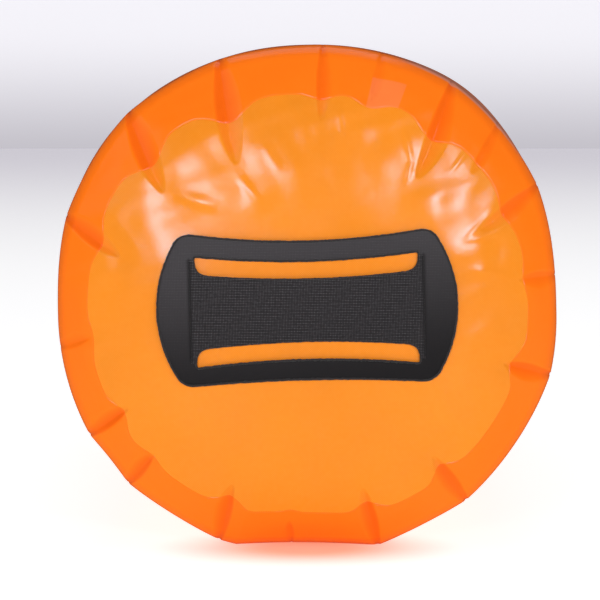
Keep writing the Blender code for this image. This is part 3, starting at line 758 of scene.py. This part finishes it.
def slacken(points, tube_end):
    """Gives the tube and shoulder their slack: long soft waves, and gathers toward the mouth."""
    rows = points.shape[0]
    normals = grid_normals(points, wrap=True)
    angle = np.radians(ANGLES)[None, :]
    along = (points[..., 1] - RIM_Y) / TUBE_LENGTH
    body = smooth((points[..., 1] - RIM_Y - 30 * MM) / (60 * MM))
    waves = 0.8 * MM * np.sin(7 * angle + 2.2 * np.sin(3 * along)) * np.sin(4.3 * along + 0.6)
    waves += fine_noise(points, 11, 1.8 * MM, 2) + fine_noise(points, 30, 0.6 * MM, 3)
    shoulder = np.clip((np.arange(rows) - tube_end) / (rows - tube_end), 0, 1)[:, None]
    gathers = np.zeros_like(along)
    for at, depth, width, turn in GATHERS:
        line = radians(at + turn) - radians(turn) * shoulder * 1.5
        off = np.degrees(np.abs(np.mod(angle - line + pi, 2 * pi) - pi)) / width
        gathers -= depth * MM * np.exp(-(off**2)) * np.sin(pi * np.clip(shoulder * 1.05, 0, 1)) ** 1.3
    lower = smooth(points[..., 2] / (30 * MM))
    end_fade = smooth((1 - shoulder) / 0.12)
    shift = (waves * body * (0.35 + 0.65 * lower) + gathers * lower) * end_fade
    # over the tape the cloth only moves outward, so that the tape stays under it
    near_seam = np.exp(-((angle_gap(ANGLES, SEAM_ANGLE) / 10) ** 2))[None, :] * (shoulder == 0)
    shift = shift + near_seam * (np.maximum(shift, 0) - shift)
    moved = points + normals * shift[..., None]
    moved[..., 2] = np.maximum(moved[..., 2], 0.2 * MM)
    return moved


def make_bag_cloth():
    """The hem and rim, the tube, and the shoulder in two halves."""
    points, fold_shade, hem_end, tube_end = bag_grid()
    points = slacken(points, tube_end)
    normals = grid_normals(points, wrap=True)
    along = np.r_[0, np.cumsum(np.linalg.norm(np.diff(points, axis=0), axis=2).mean(1))]
    girth = np.radians(ANGLES) * SECTION_HALF_WIDTH
    uv = grid_uv(girth, along)
    layers = np.full(fold_shade.shape, 0.75)
    layers[hem_end:] = 0.75 * smooth(1 - (along[hem_end:, None] - along[hem_end]) / (80 * MM))
    seam = np.abs(angle_gap(ANGLES, SEAM_ANGLE)) * SECTION_HALF_WIDTH * pi / 180 < SEAM_HALF_WIDTH
    pale = np.zeros(fold_shade.shape)
    pale[: HEM_STEPS * 3 // 4, seam] = 0.2
    # painted grey reflection on the tube where it bulges past the rim, fading back from the rim
    rim_row = HEM_STEPS + RIM_STEPS // 2
    beyond = smooth((19 - np.abs(angle_gap(ANGLES, SLIVER_ANGLE))) / 9)
    faded = smooth(1 - (along[rim_row:, None] - along[rim_row]) / (34 * MM))
    pale[rim_row:] = 0.9 * beyond * faded

    parts = (("base_hem_cloth", 0, hem_end + 1, HEM), ("tube_cloth", hem_end, tube_end, TUBE))
    for name, first, last, finish in parts:
        piece = grid_mesh(
            name,
            points[first:last],
            uv[first:last],
            finish,
            wrap=True,
            normals=normals[first:last],
            attributes=tones(layers[first:last], fold_shade[first:last], pale[first:last]),
            flip=True,
        )
        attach(piece, "bag")
        if name == "tube_cloth":
            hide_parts("body_shell")

    quarter = AROUND // 4
    shoulder_from = tube_end - 1
    for side, first in (("right", -quarter), ("left", quarter)):
        pick = np.arange(first, first + AROUND // 2 + 1) % AROUND
        part = points[shoulder_from:][:, pick]
        plain = 0 * part[..., 0]
        part_uv = uv[shoulder_from:][:, pick]
        if side == "right":
            part_uv = unwrapped(part_uv, pick, AROUND)
        piece = grid_mesh(
            f"shoulder_{side}_cloth",
            part,
            part_uv,
            TUBE,
            normals=normals[shoulder_from:][:, pick],
            attributes=tones(plain, plain, plain),
            flip=True,
        )
        bend_with_end(piece)


def unwrapped(uv, pick, columns):
    """UVs of the picked columns, which pass the first one, so that they run on instead of starting again."""
    made = np.array(uv)
    made[..., 0] += np.where(pick >= columns // 2, -2 * pi * SECTION_HALF_WIDTH, 0)[None, :]
    return made


def bend_with_end(piece):
    """Bakes a piece's placement into its mesh."""
    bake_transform(piece)


ROLL_TURNS = 3.25
POINTS_PER_TURN = 44
HALF_OVERLAP = 0.3 * MM


def spiral_section():
    """The rolled cloth's cross-section: a flattened spiral from the strips out to the last turn."""
    count = int(ROLL_TURNS * POINTS_PER_TURN)
    section = []
    for k in range(count + 1):
        t = k / count
        a = 2 * pi * ROLL_TURNS * t - pi * 0.5
        thick = (1.9 + 3.9 * t) * MM
        wide = (12.8 + 2.9 * t) * MM
        section.append((thick * signed_power(cos(a), 0.75), wide * signed_power(sin(a), 0.62)))
    return np.array(section)


def make_rolls():
    """The rolled mouth, in two halves that overlap a little at the loop's middle."""
    for side, sign in (("right", 1), ("left", -1)):
        distances = np.linspace(-HALF_OVERLAP, ROLL_HALF_LENGTH, 110)
        path, outward = loop_frames(distances, sign)
        up = np.tile((0.0, 0.0, 1.0), (len(path), 1))
        section = spiral_section()
        ripple = 1 + 0.02 * np.sin(distances / MM * 0.35)
        points = (
            path[:, None]
            + outward[:, None] * section[None, :, 0, None]
            + up[:, None] * section[None, :, 1, None] * ripple[:, None, None]
        )
        along = distances / MM
        round_phase = 3 * np.sin(np.arange(len(section))[None, :] * 0.12)
        wobble = 0.25 * MM * np.sin(along[:, None] * 0.55 + round_phase)
        points[..., 2] += wobble * 0.6
        points += outward[:, None] * wobble[..., None] * 0.5
        girth = run_lengths(section)
        plain = 0 * points[..., 0]
        roll = grid_mesh(
            f"rolled_mouth_{side}",
            points,
            grid_uv(girth, distances),
            TUBE,
            attributes=tones(plain + 0.5, plain, plain),
        )
        solid(roll, FABRIC, offset=0)
        bend_with_end(roll)
        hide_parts("roll_" + side, *(["roll_centre"] if side == "right" else []))


def rounded_strip(width, thickness, ribs):
    """A webbing section: ribbed faces and rounded edges, as (across, up) points."""
    half_wide, half_thick = width / 2, thickness / 2
    count = 48
    top = []
    for k in range(count + 1):
        up = -half_wide + width * k / count
        edge = 1 - abs(up) / half_wide
        height = half_thick * min(1, (edge * 14) ** 0.5) if edge < 1 / 14 else half_thick
        height -= 0.07 * MM * (0.5 - 0.5 * cos(2 * pi * ribs * k / count))
        top.append((height, up))
    return top + [(-across, up) for across, up in top[-2:0:-1]]


def make_tabs():
    """Webbing from inside the roll's end, round the buckle's bar and back, held by a bartack."""
    for side, sign in (("left", -1), ("right", 1)):
        offset = TAB_LAYER / 2 + 0.02 * MM
        eye = BAR_RADIUS + 0.3 * MM + TAB_LAYER / 2
        start = ROLL_HALF_LENGTH - 18 * MM
        out = np.linspace(start, BAR_DISTANCE - 7 * MM, 30)
        path, outward = loop_frames(out, sign)
        bar = np.array((sign * BAR.x, BAR.y, CLOSURE_Z))
        front = path + outward * offset
        back = path - outward * offset
        around = [
            bar + eye * np.array((-sign * cos(t), sin(t), 0)) for t in np.linspace(1.95, -1.95, 22)
        ]
        if outward[-1][1] > 0:
            line = np.vstack([front, around, back[::-1]])
        else:
            line = np.vstack([back, around, front[::-1]])
        line = smooth_line(line)
        tangent = np.gradient(line, axis=0)
        tangent /= np.linalg.norm(tangent, axis=1, keepdims=True)
        up = np.tile((0.0, 0.0, 1.0), (len(line), 1))
        across = np.cross(tangent, up)
        section = rounded_strip(TAB_WIDTH, TAB_LAYER, ribs=9)
        tab = sweep(f"webbing_tab_{side}", line, across, up, section, WEBBING)
        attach(tab, side + "_end")
        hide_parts("tab_" + side)
        make_bartack(side, sign)


def smooth_line(line, rounds=3):
    """Relaxes a line's inner points, so that its stretches join in one curve."""
    line = np.array(line)
    for _ in range(rounds):
        line[1:-1] = 0.5 * line[1:-1] + 0.25 * (line[:-2] + line[2:])
    return line


def make_bartack(side, sign):
    """Dense zigzag stitching across the webbing, on its outer face."""
    low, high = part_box("bartack_" + side)
    thread = 0.28 * MM
    start = ROLL_HALF_LENGTH + 6.2 * MM
    rows = 34
    points = []
    for k in range(rows + 1):
        distance = start + (2.6 * MM if k % 2 else 0)
        path, outward = loop_frames([distance], sign)
        place = path[0] + outward[0] * (TAB_LAYER + 0.22 * MM)
        place[2] = low.z + 0.4 * MM + (high.z - low.z - 0.8 * MM) * k / rows
        points.append(place)
    tack = thread_curve(f"bartack_stitches_{side}", points, thread, STITCH)
    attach(tack, side + "_end")
    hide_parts("bartack_" + side)


def curve_mesh(name, lines, cyclic, **settings):
    """The mesh of a curve drawn through each line's points, with these settings."""
    curve = bpy.data.curves.new(name, "CURVE")
    for key, value in settings.items():
        setattr(curve, key, value)
    for line in lines:
        spline = curve.splines.new("POLY")
        spline.points.add(len(line) - 1)
        for point, place in zip(spline.points, line):
            point.co = (*Vector(place).to_3d(), 1)
        spline.use_cyclic_u = cyclic
    drawn = in_scene(name, curve)
    mesh = evaluated_mesh(drawn)
    bpy.data.objects.remove(drawn)
    return mesh


def thread_curve(name, points, radius, finish, cyclic=False):
    """A round thread through these points."""
    settings = {"dimensions": "3D", "bevel_depth": radius, "bevel_resolution": 2, "use_fill_caps": True}
    mesh = curve_mesh(name, [points], cyclic, **settings)
    mesh.materials.clear()
    mesh.materials.append(finish)
    mesh.shade_smooth()
    return in_scene(name, mesh)


# ---------------------------------------------------------------- grip


def arc_through(start, middle, end, count):
    """Points of the circular arc through three points."""
    (ax, ay), (bx, by), (cx, cy) = start, middle, end
    d = 2 * (ax * (by - cy) + bx * (cy - ay) + cx * (ay - by))
    a2, b2, c2 = ax * ax + ay * ay, bx * bx + by * by, cx * cx + cy * cy
    centre = Vector((
        (a2 * (by - cy) + b2 * (cy - ay) + c2 * (ay - by)) / d,
        (a2 * (cx - bx) + b2 * (ax - cx) + c2 * (bx - ax)) / d,
    ))
    first = Vector(start) - centre
    turn = first.angle_signed(Vector(end) - centre)
    points = []
    for k in range(count + 1):
        spoke = first.copy()
        spoke.rotate(Matrix.Rotation(-turn * k / count, 2))
        points.append(centre + spoke)
    return points


def rounded(sides, radii, steps=8):
    """Joins sides, given as point lists that meet at corners, with a curve of its own size at each corner."""
    closest = 0.25 * MM
    outline = []
    for k, side in enumerate(sides):
        following = sides[(k + 1) % len(sides)]
        before_size, size = radii[k - 1], radii[k]
        corner = side[-1]
        for p in side:
            if (p - corner).length > size and (p - side[0]).length > before_size:
                outline.append(p)
        before = corner + (side[-2] - corner).normalized() * size
        after = corner + (following[1] - corner).normalized() * size
        for j in range(steps + 1):
            t = j / steps
            outline.append((1 - t) ** 2 * before + 2 * t * (1 - t) * corner + t * t * after)
    return [p for k, p in enumerate(outline) if (p - outline[k - 1]).length > closest]


def hourglass(half, bulge, top_end, top_mid, low_end, low_mid, radii):
    """A closed outline with arched top and bottom edges and ends that may bulge."""
    corners = {"rt": (half, top_end), "rl": (half, low_end), "lt": (-half, top_end), "ll": (-half, low_end)}
    middle = (top_end + low_end) / 2
    sides = [
        arc_through(corners["ll"], (0, low_mid), corners["rl"], 40),
        arc_through(corners["rl"], (bulge, middle), corners["rt"], 28),
        arc_through(corners["rt"], (0, top_mid), corners["lt"], 40),
        arc_through(corners["lt"], (-bulge, middle), corners["ll"], 28),
    ]
    return rounded([[Vector(p) for p in side] for side in sides], radii)


def on_base(x, z, lift):
    """A point of the grip, given by its place across and up, on the dome and turned as the grip is."""
    x, z = x * GRIP_SCALE, z * GRIP_SCALE
    turned_x = x * cos(GRIP_TURN) - z * sin(GRIP_TURN)
    turned_z = x * sin(GRIP_TURN) + z * cos(GRIP_TURN)
    up = (turned_z + GRIP_CENTRE_Z - SECTION_CENTRE_Z) / SECTION_HALF_HEIGHT
    share = np.hypot(turned_x / SECTION_HALF_WIDTH, up)
    y = RIM_Y - DOME_RISE * (1 - share**DOME_POWER)
    return (turned_x, y - lift, turned_z + GRIP_CENTRE_Z)


def flat_plate(name, outlines, thickness, rounding, spacing, finish, lift):
    """A cut plate with softly rounded edges, in small facets, laid on the dome by lift(x)."""
    mesh = curve_mesh(
        name,
        outlines,
        cyclic=True,
        dimensions="2D",
        fill_mode="BOTH",
        extrude=thickness / 2 - rounding,
        bevel_depth=rounding,
        bevel_resolution=2,
        offset=-rounding,
    )
    body = bmesh.new()
    body.from_mesh(mesh)
    bmesh.ops.remove_doubles(body, verts=body.verts, dist=0.002 * MM)
    for axis, reach in ((0, 62 * MM), (1, 32 * MM)):
        for place in np.arange(-reach, reach, spacing):
            normal = Vector([1.0 if k == axis else 0.0 for k in range(3)])
            whole = body.verts[:] + body.edges[:] + body.faces[:]
            bmesh.ops.bisect_plane(body, geom=whole, plane_co=normal * place, plane_no=normal)
    layer = body.loops.layers.uv.new("cloth")
    for face in body.faces:
        for loop in face.loops:
            loop[layer].uv = (loop.vert.co.x, loop.vert.co.y)
    for vert in body.verts:
        x, z, out = vert.co
        vert.co = on_base(x, z, lift(x) + out)
    bmesh.ops.recalc_face_normals(body, faces=body.faces)
    body.to_mesh(mesh)
    body.free()
    mesh.materials.clear()
    mesh.materials.append(finish)
    mesh.shade_smooth()
    mesh.set_sharp_from_angle(angle=radians(50))
    return in_scene(name, mesh)


GRIP_THICKNESS = 1.0 * MM
FRAME_GAP = 0.3 * MM
FRAME_CORNER = 4.6 * MM
FRAME_EDGE = hourglass(
    49.5 * MM, 59.5 * MM, 30.4 * MM, 26.5 * MM, -30.4 * MM, -28.2 * MM, (FRAME_CORNER,) * 4
)
SLIT_X = 44.6 * MM


def slit(outer_end, outer_mid, inner_end, inner_mid):
    """One finger slit: tight corners on its outer edge, and wide ones where the band flares to its ends."""
    middle = (outer_end + inner_end) / 2
    sides = [
        arc_through((-SLIT_X, outer_end), (0, outer_mid), (SLIT_X, outer_end), 40),
        [(SLIT_X, outer_end), (SLIT_X, middle), (SLIT_X, inner_end)],
        arc_through((SLIT_X, inner_end), (0, inner_mid), (-SLIT_X, inner_end), 40),
        [(-SLIT_X, inner_end), (-SLIT_X, middle), (-SLIT_X, outer_end)],
    ]
    tight, wide = 1.6 * MM, 5.5 * MM
    return rounded([[Vector(p) for p in side] for side in sides], (tight, wide, wide, tight))


TOP_SPLIT = 19.7 * MM
LOW_SPLIT = -21.2 * MM
TOP_SLIT = slit(21.6 * MM, 18.9 * MM, 13.9 * MM, 11.5 * MM)
LOW_SLIT = slit(-23.2 * MM, -20.5 * MM, -15.4 * MM, -12.9 * MM)


def run_of(outline, keep):
    """The points of a closed outline that keep() takes, as one run in the outline's own order."""
    start = next(k for k, p in enumerate(outline) if keep(p) and not keep(outline[k - 1]))
    return [p for p in outline[start:] + outline[:start] if keep(p)]


def parting(x, split):
    """Height of the arched line that parts a slit's frame side from its band side: split at its ends."""
    return split * (0.78 + 0.22 * (x / SLIT_X) ** 2)


def band_lift(x):
    """The band stands a little off the base, and curves down to its welded ends."""
    return 0.45 * MM + GRIP_THICKNESS / 2 + 0.7 * MM * float(smooth((WELD_X - abs(x)) / (4 * MM)))


def frame_lift(_):
    return FRAME_GAP + GRIP_THICKNESS / 2


def make_grip():
    """The welded patch: a pressed frame, and the woven band between its two finger slits."""
    low_band = run_of(LOW_SLIT, lambda p: p.y > parting(p.x, LOW_SPLIT))[::-1]
    top_band = run_of(TOP_SLIT, lambda p: p.y < parting(p.x, TOP_SPLIT))
    low_frame = run_of(LOW_SLIT, lambda p: p.y < parting(p.x, LOW_SPLIT))
    top_frame = run_of(TOP_SLIT, lambda p: p.y > parting(p.x, TOP_SPLIT))[::-1]
    low_left = [Vector((-WELD_X, LOW_SPLIT)), Vector((-SLIT_X, LOW_SPLIT))]
    low_right = [Vector((SLIT_X, LOW_SPLIT)), Vector((WELD_X, LOW_SPLIT))]
    top_right = [Vector((WELD_X, TOP_SPLIT)), Vector((SLIT_X, TOP_SPLIT))]
    top_left = [Vector((-SLIT_X, TOP_SPLIT)), Vector((-WELD_X, TOP_SPLIT))]
    window = [*low_left, *low_frame, *low_right, *top_right, *top_frame, *top_left]
    frame_plate = flat_plate(
        "grip_frame", [FRAME_EDGE, window], GRIP_THICKNESS, 0.18 * MM, 3 * MM, PRESSED, frame_lift
    )
    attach(frame_plate, "bag")
    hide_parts("handle_frame")

    band_edge = [*low_left, *low_band, *low_right, *top_right, *top_band, *top_left]
    for side, sign in (("left", -1), ("right", 1)):
        outline = half_of(band_edge, sign)
        band = flat_plate(
            f"grip_band_{side}", [outline], GRIP_THICKNESS, 0.12 * MM, 2 * MM, WOVEN, band_lift
        )
        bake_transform(band)
        if side == "left":
            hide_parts("handle_band")
    make_cut_edges()


def half_of(outline, sign):
    """The half of a closed outline on one side of its middle, closed straight along the middle."""
    kept = run_of(outline, lambda p: p.x * sign > 0.2 * MM)
    past = -sign * 0.12 * MM
    return [Vector((past, kept[0].y)), *kept, Vector((past, kept[-1].y))]


def make_cut_edges():
    """The fuzzy fibres that stand along the cut edges of the patch."""
    for name, outline in (("outer", FRAME_EDGE), ("top_slit", TOP_SLIT), ("low_slit", LOW_SLIT)):
        points = []
        for k, p in enumerate(resampled(outline, 0.5 * MM)):
            jitter = noise.noise(Vector((k * 0.37, len(outline) * 0.1, 1.7)))
            points.append(on_base(p.x, p.y, FRAME_GAP + GRIP_THICKNESS * 0.9 + 0.1 * MM * jitter))
        edge = thread_curve("grip_edge_" + name, points, 0.45 * MM, EDGE_FIBRE, cyclic=True)
        roughen(edge, 0.3 * MM)
        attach(edge, "bag")


def resampled(outline, spacing):
    points = [*outline, outline[0]]
    lengths = np.r_[0, np.cumsum([(b - a).length for a, b in zip(points, points[1:])])]
    count = int(lengths[-1] / spacing)
    at = np.linspace(0, lengths[-1], count, endpoint=False)
    xs = np.interp(at, lengths, [p.x for p in points])
    ys = np.interp(at, lengths, [p.y for p in points])
    return [Vector(p) for p in zip(xs, ys)]


def roughen(piece, amount):
    # without a seed of its own, noise_vector takes one from the clock and each run differs
    noise.seed_set(1)
    for vert in piece.data.vertices:
        push = noise.noise_vector(vert.co * 2400) + noise.noise_vector(vert.co * 900)
        vert.co += push * amount * 0.5


# ---------------------------------------------------------------- carried-over parts


def finish_cad_nodes():
    finishes = {"buckle_socket": BUCKLE, "buckle_plug": BUCKLE, "prong_upper": BUCKLE, "prong_lower": BUCKLE}
    finishes["side_seam_tape"] = TAPE
    for layer in ("inner", "outer"):
        for place in ("centre", "left", "right"):
            finishes[f"stiffener_{layer}_{place}"] = STRIP
    for node, finish in finishes.items():
        mesh = frame["nodes"][node].data
        mesh.materials.clear()
        mesh.materials.append(finish)


# ---------------------------------------------------------------- studio


def stage_material(name, far, near, axis, low, high, roughness, glow):
    """A plain glowing surface with painted light: darker toward the far end of an axis as the light falls
    off, and a painted warm reflection with contact shade under the base's front.
    """
    nodes = Nodes(name)
    place = nodes.add("ShaderNodeNewGeometry").outputs["Position"]
    # painted light: darker at the far end (the table's back, the wall's foot), lighter at the near end
    along = nodes.add("ShaderNodeSeparateXYZ", {"Vector": place}).outputs[axis]
    share = nodes.ramp(along, low, high)
    tone = nodes.mix(share, (*far, 1), (*near, 1))
    nodes.link(nodes.mix(0.62, (0, 0, 0, 1), tone), "Base Color")
    # painted warm reflection of the base with painted contact shade: in an oval under the base's front edge,
    # the glow turns dim and warm
    split = nodes.add("ShaderNodeSeparateXYZ", {"Vector": place})
    across = nodes.math("POWER", nodes.math("DIVIDE", split.outputs["X"], 42 * MM), 2)
    ahead = nodes.math("SUBTRACT", split.outputs["Y"], RIM_Y - 4 * MM)
    ahead = nodes.math("POWER", nodes.math("DIVIDE", ahead, 30 * MM), 2)
    distance = nodes.math("SQRT", nodes.math("ADD", across, ahead))
    clear = nodes.ramp(distance, 0.3, 1.6)
    nodes.link(nodes.mix(clear, (0.48, 0.21, 0.13, 1), tone), "Emission Color")
    nodes.link(nodes.ramp(clear, 0.0, 1.0, 1.0, glow), "Emission Strength")
    nodes.set(Roughness=roughness, Specular_IOR_Level=0.4)
    return nodes.material


def stage_plane(name, corners, finish):
    mesh = bpy.data.meshes.new(name)
    mesh.from_pydata(corners, [], [(0, 1, 2, 3)])
    mesh.materials.append(finish)
    plane = in_scene(name, mesh)
    return plane


CAMERA_DISTANCE = 1.2
CAMERA_PITCH = radians(5)
TABLE_BACK = 4.0


def make_studio():
    top = stage_material("table_top", (0.58, 0.56, 0.61), (0.97, 0.97, 0.975), "Y", 3.9, 0.5, 0.28, 0.85)
    wall = stage_material("studio_wall", (0.55, 0.53, 0.58), (0.84, 0.83, 0.87), "Z", -0.05, 0.22, 0.9, 0.85)
    near, wide = -3.0, 6.0
    table = stage_plane(
        "table", [(-wide, near, 0), (wide, near, 0), (wide, TABLE_BACK, 0), (-wide, TABLE_BACK, 0)], top
    )
    back = TABLE_BACK + 0.25
    screen = stage_plane(
        "wall", [(-wide, back, -1.0), (wide, back, -1.0), (wide, back, 3.5), (-wide, back, 3.5)], wall
    )
    table.visible_glossy = screen.visible_glossy = False
    make_surroundings()
    soft_light("key_left", -17, 13, 1.5, 0.42, 0.26, 7.0, (1.0, 0.98, 0.97))
    soft_light("key_right", 24, 14, 1.5, 0.28, 0.26, 7.0, (1.0, 0.98, 0.98))
    soft_light("side", -50, 25, 1.6, 0.6, 0.6, 1.0, (1.0, 1.0, 1.0))
    soft_light("overhead", 0, 100, 1.3, 0.9, 0.9, 4.0, (1.0, 1.0, 1.0))


def make_surroundings():
    """A pale room, bright all round and darker behind the bag."""
    world = bpy.data.worlds.new("studio")
    world.use_nodes = True
    tree = world.node_tree
    place = tree.nodes.new("ShaderNodeTexCoord")
    split = tree.nodes.new("ShaderNodeSeparateXYZ")
    fall = tree.nodes.new("ShaderNodeMapRange")
    fall.inputs["From Min"].default_value = 0.5
    fall.inputs["From Max"].default_value = 0.95
    fall.inputs["To Min"].default_value = 0.17
    fall.inputs["To Max"].default_value = 0.04
    tree.links.new(place.outputs["Generated"], split.inputs[0])
    tree.links.new(split.outputs["Y"], fall.inputs["Value"])
    tree.links.new(fall.outputs[0], tree.nodes["Background"].inputs["Strength"])
    tree.nodes["Background"].inputs["Color"].default_value = (0.99, 0.99, 1.0, 1)
    bpy.context.scene.world = world


def soft_light(name, azimuth, elevation, distance, width, height, power, colour):
    """A softbox that faces the bag's base, placed by its angles from the base's axis, in degrees."""
    lamp = bpy.data.lights.new(name, "AREA")
    lamp.shape = "RECTANGLE"
    lamp.size, lamp.size_y = width, height
    lamp.energy = power
    lamp.color = colour
    holder = in_scene(name, lamp)
    aim = Vector((0, RIM_Y, SECTION_CENTRE_Z))
    a, e = radians(azimuth), radians(elevation)
    out = Vector((sin(a) * cos(e), -cos(a) * cos(e), sin(e)))
    holder.location = aim + out * distance
    holder.rotation_euler = (-out).to_track_quat("-Z", "Y").to_euler()


def make_camera():
    lens = bpy.data.cameras.new("camera")
    lens.sensor_width = 36
    lens.lens = 181.8
    lens.clip_end = 20
    holder = in_scene("camera", lens)
    target = Vector((-2.8 * MM, RIM_Y, 98.6 * MM))
    back = Vector((0, -cos(CAMERA_PITCH), sin(CAMERA_PITCH))) * CAMERA_DISTANCE
    holder.location = target + back
    holder.rotation_euler = (-back).to_track_quat("-Z", "Y").to_euler()
    bpy.context.scene.camera = holder
    bpy.context.scene.view_settings.view_transform = "Standard"


make_camera()
make_panel()
make_bag_cloth()
make_rolls()
make_tabs()
make_grip()
finish_cad_nodes()
make_studio()
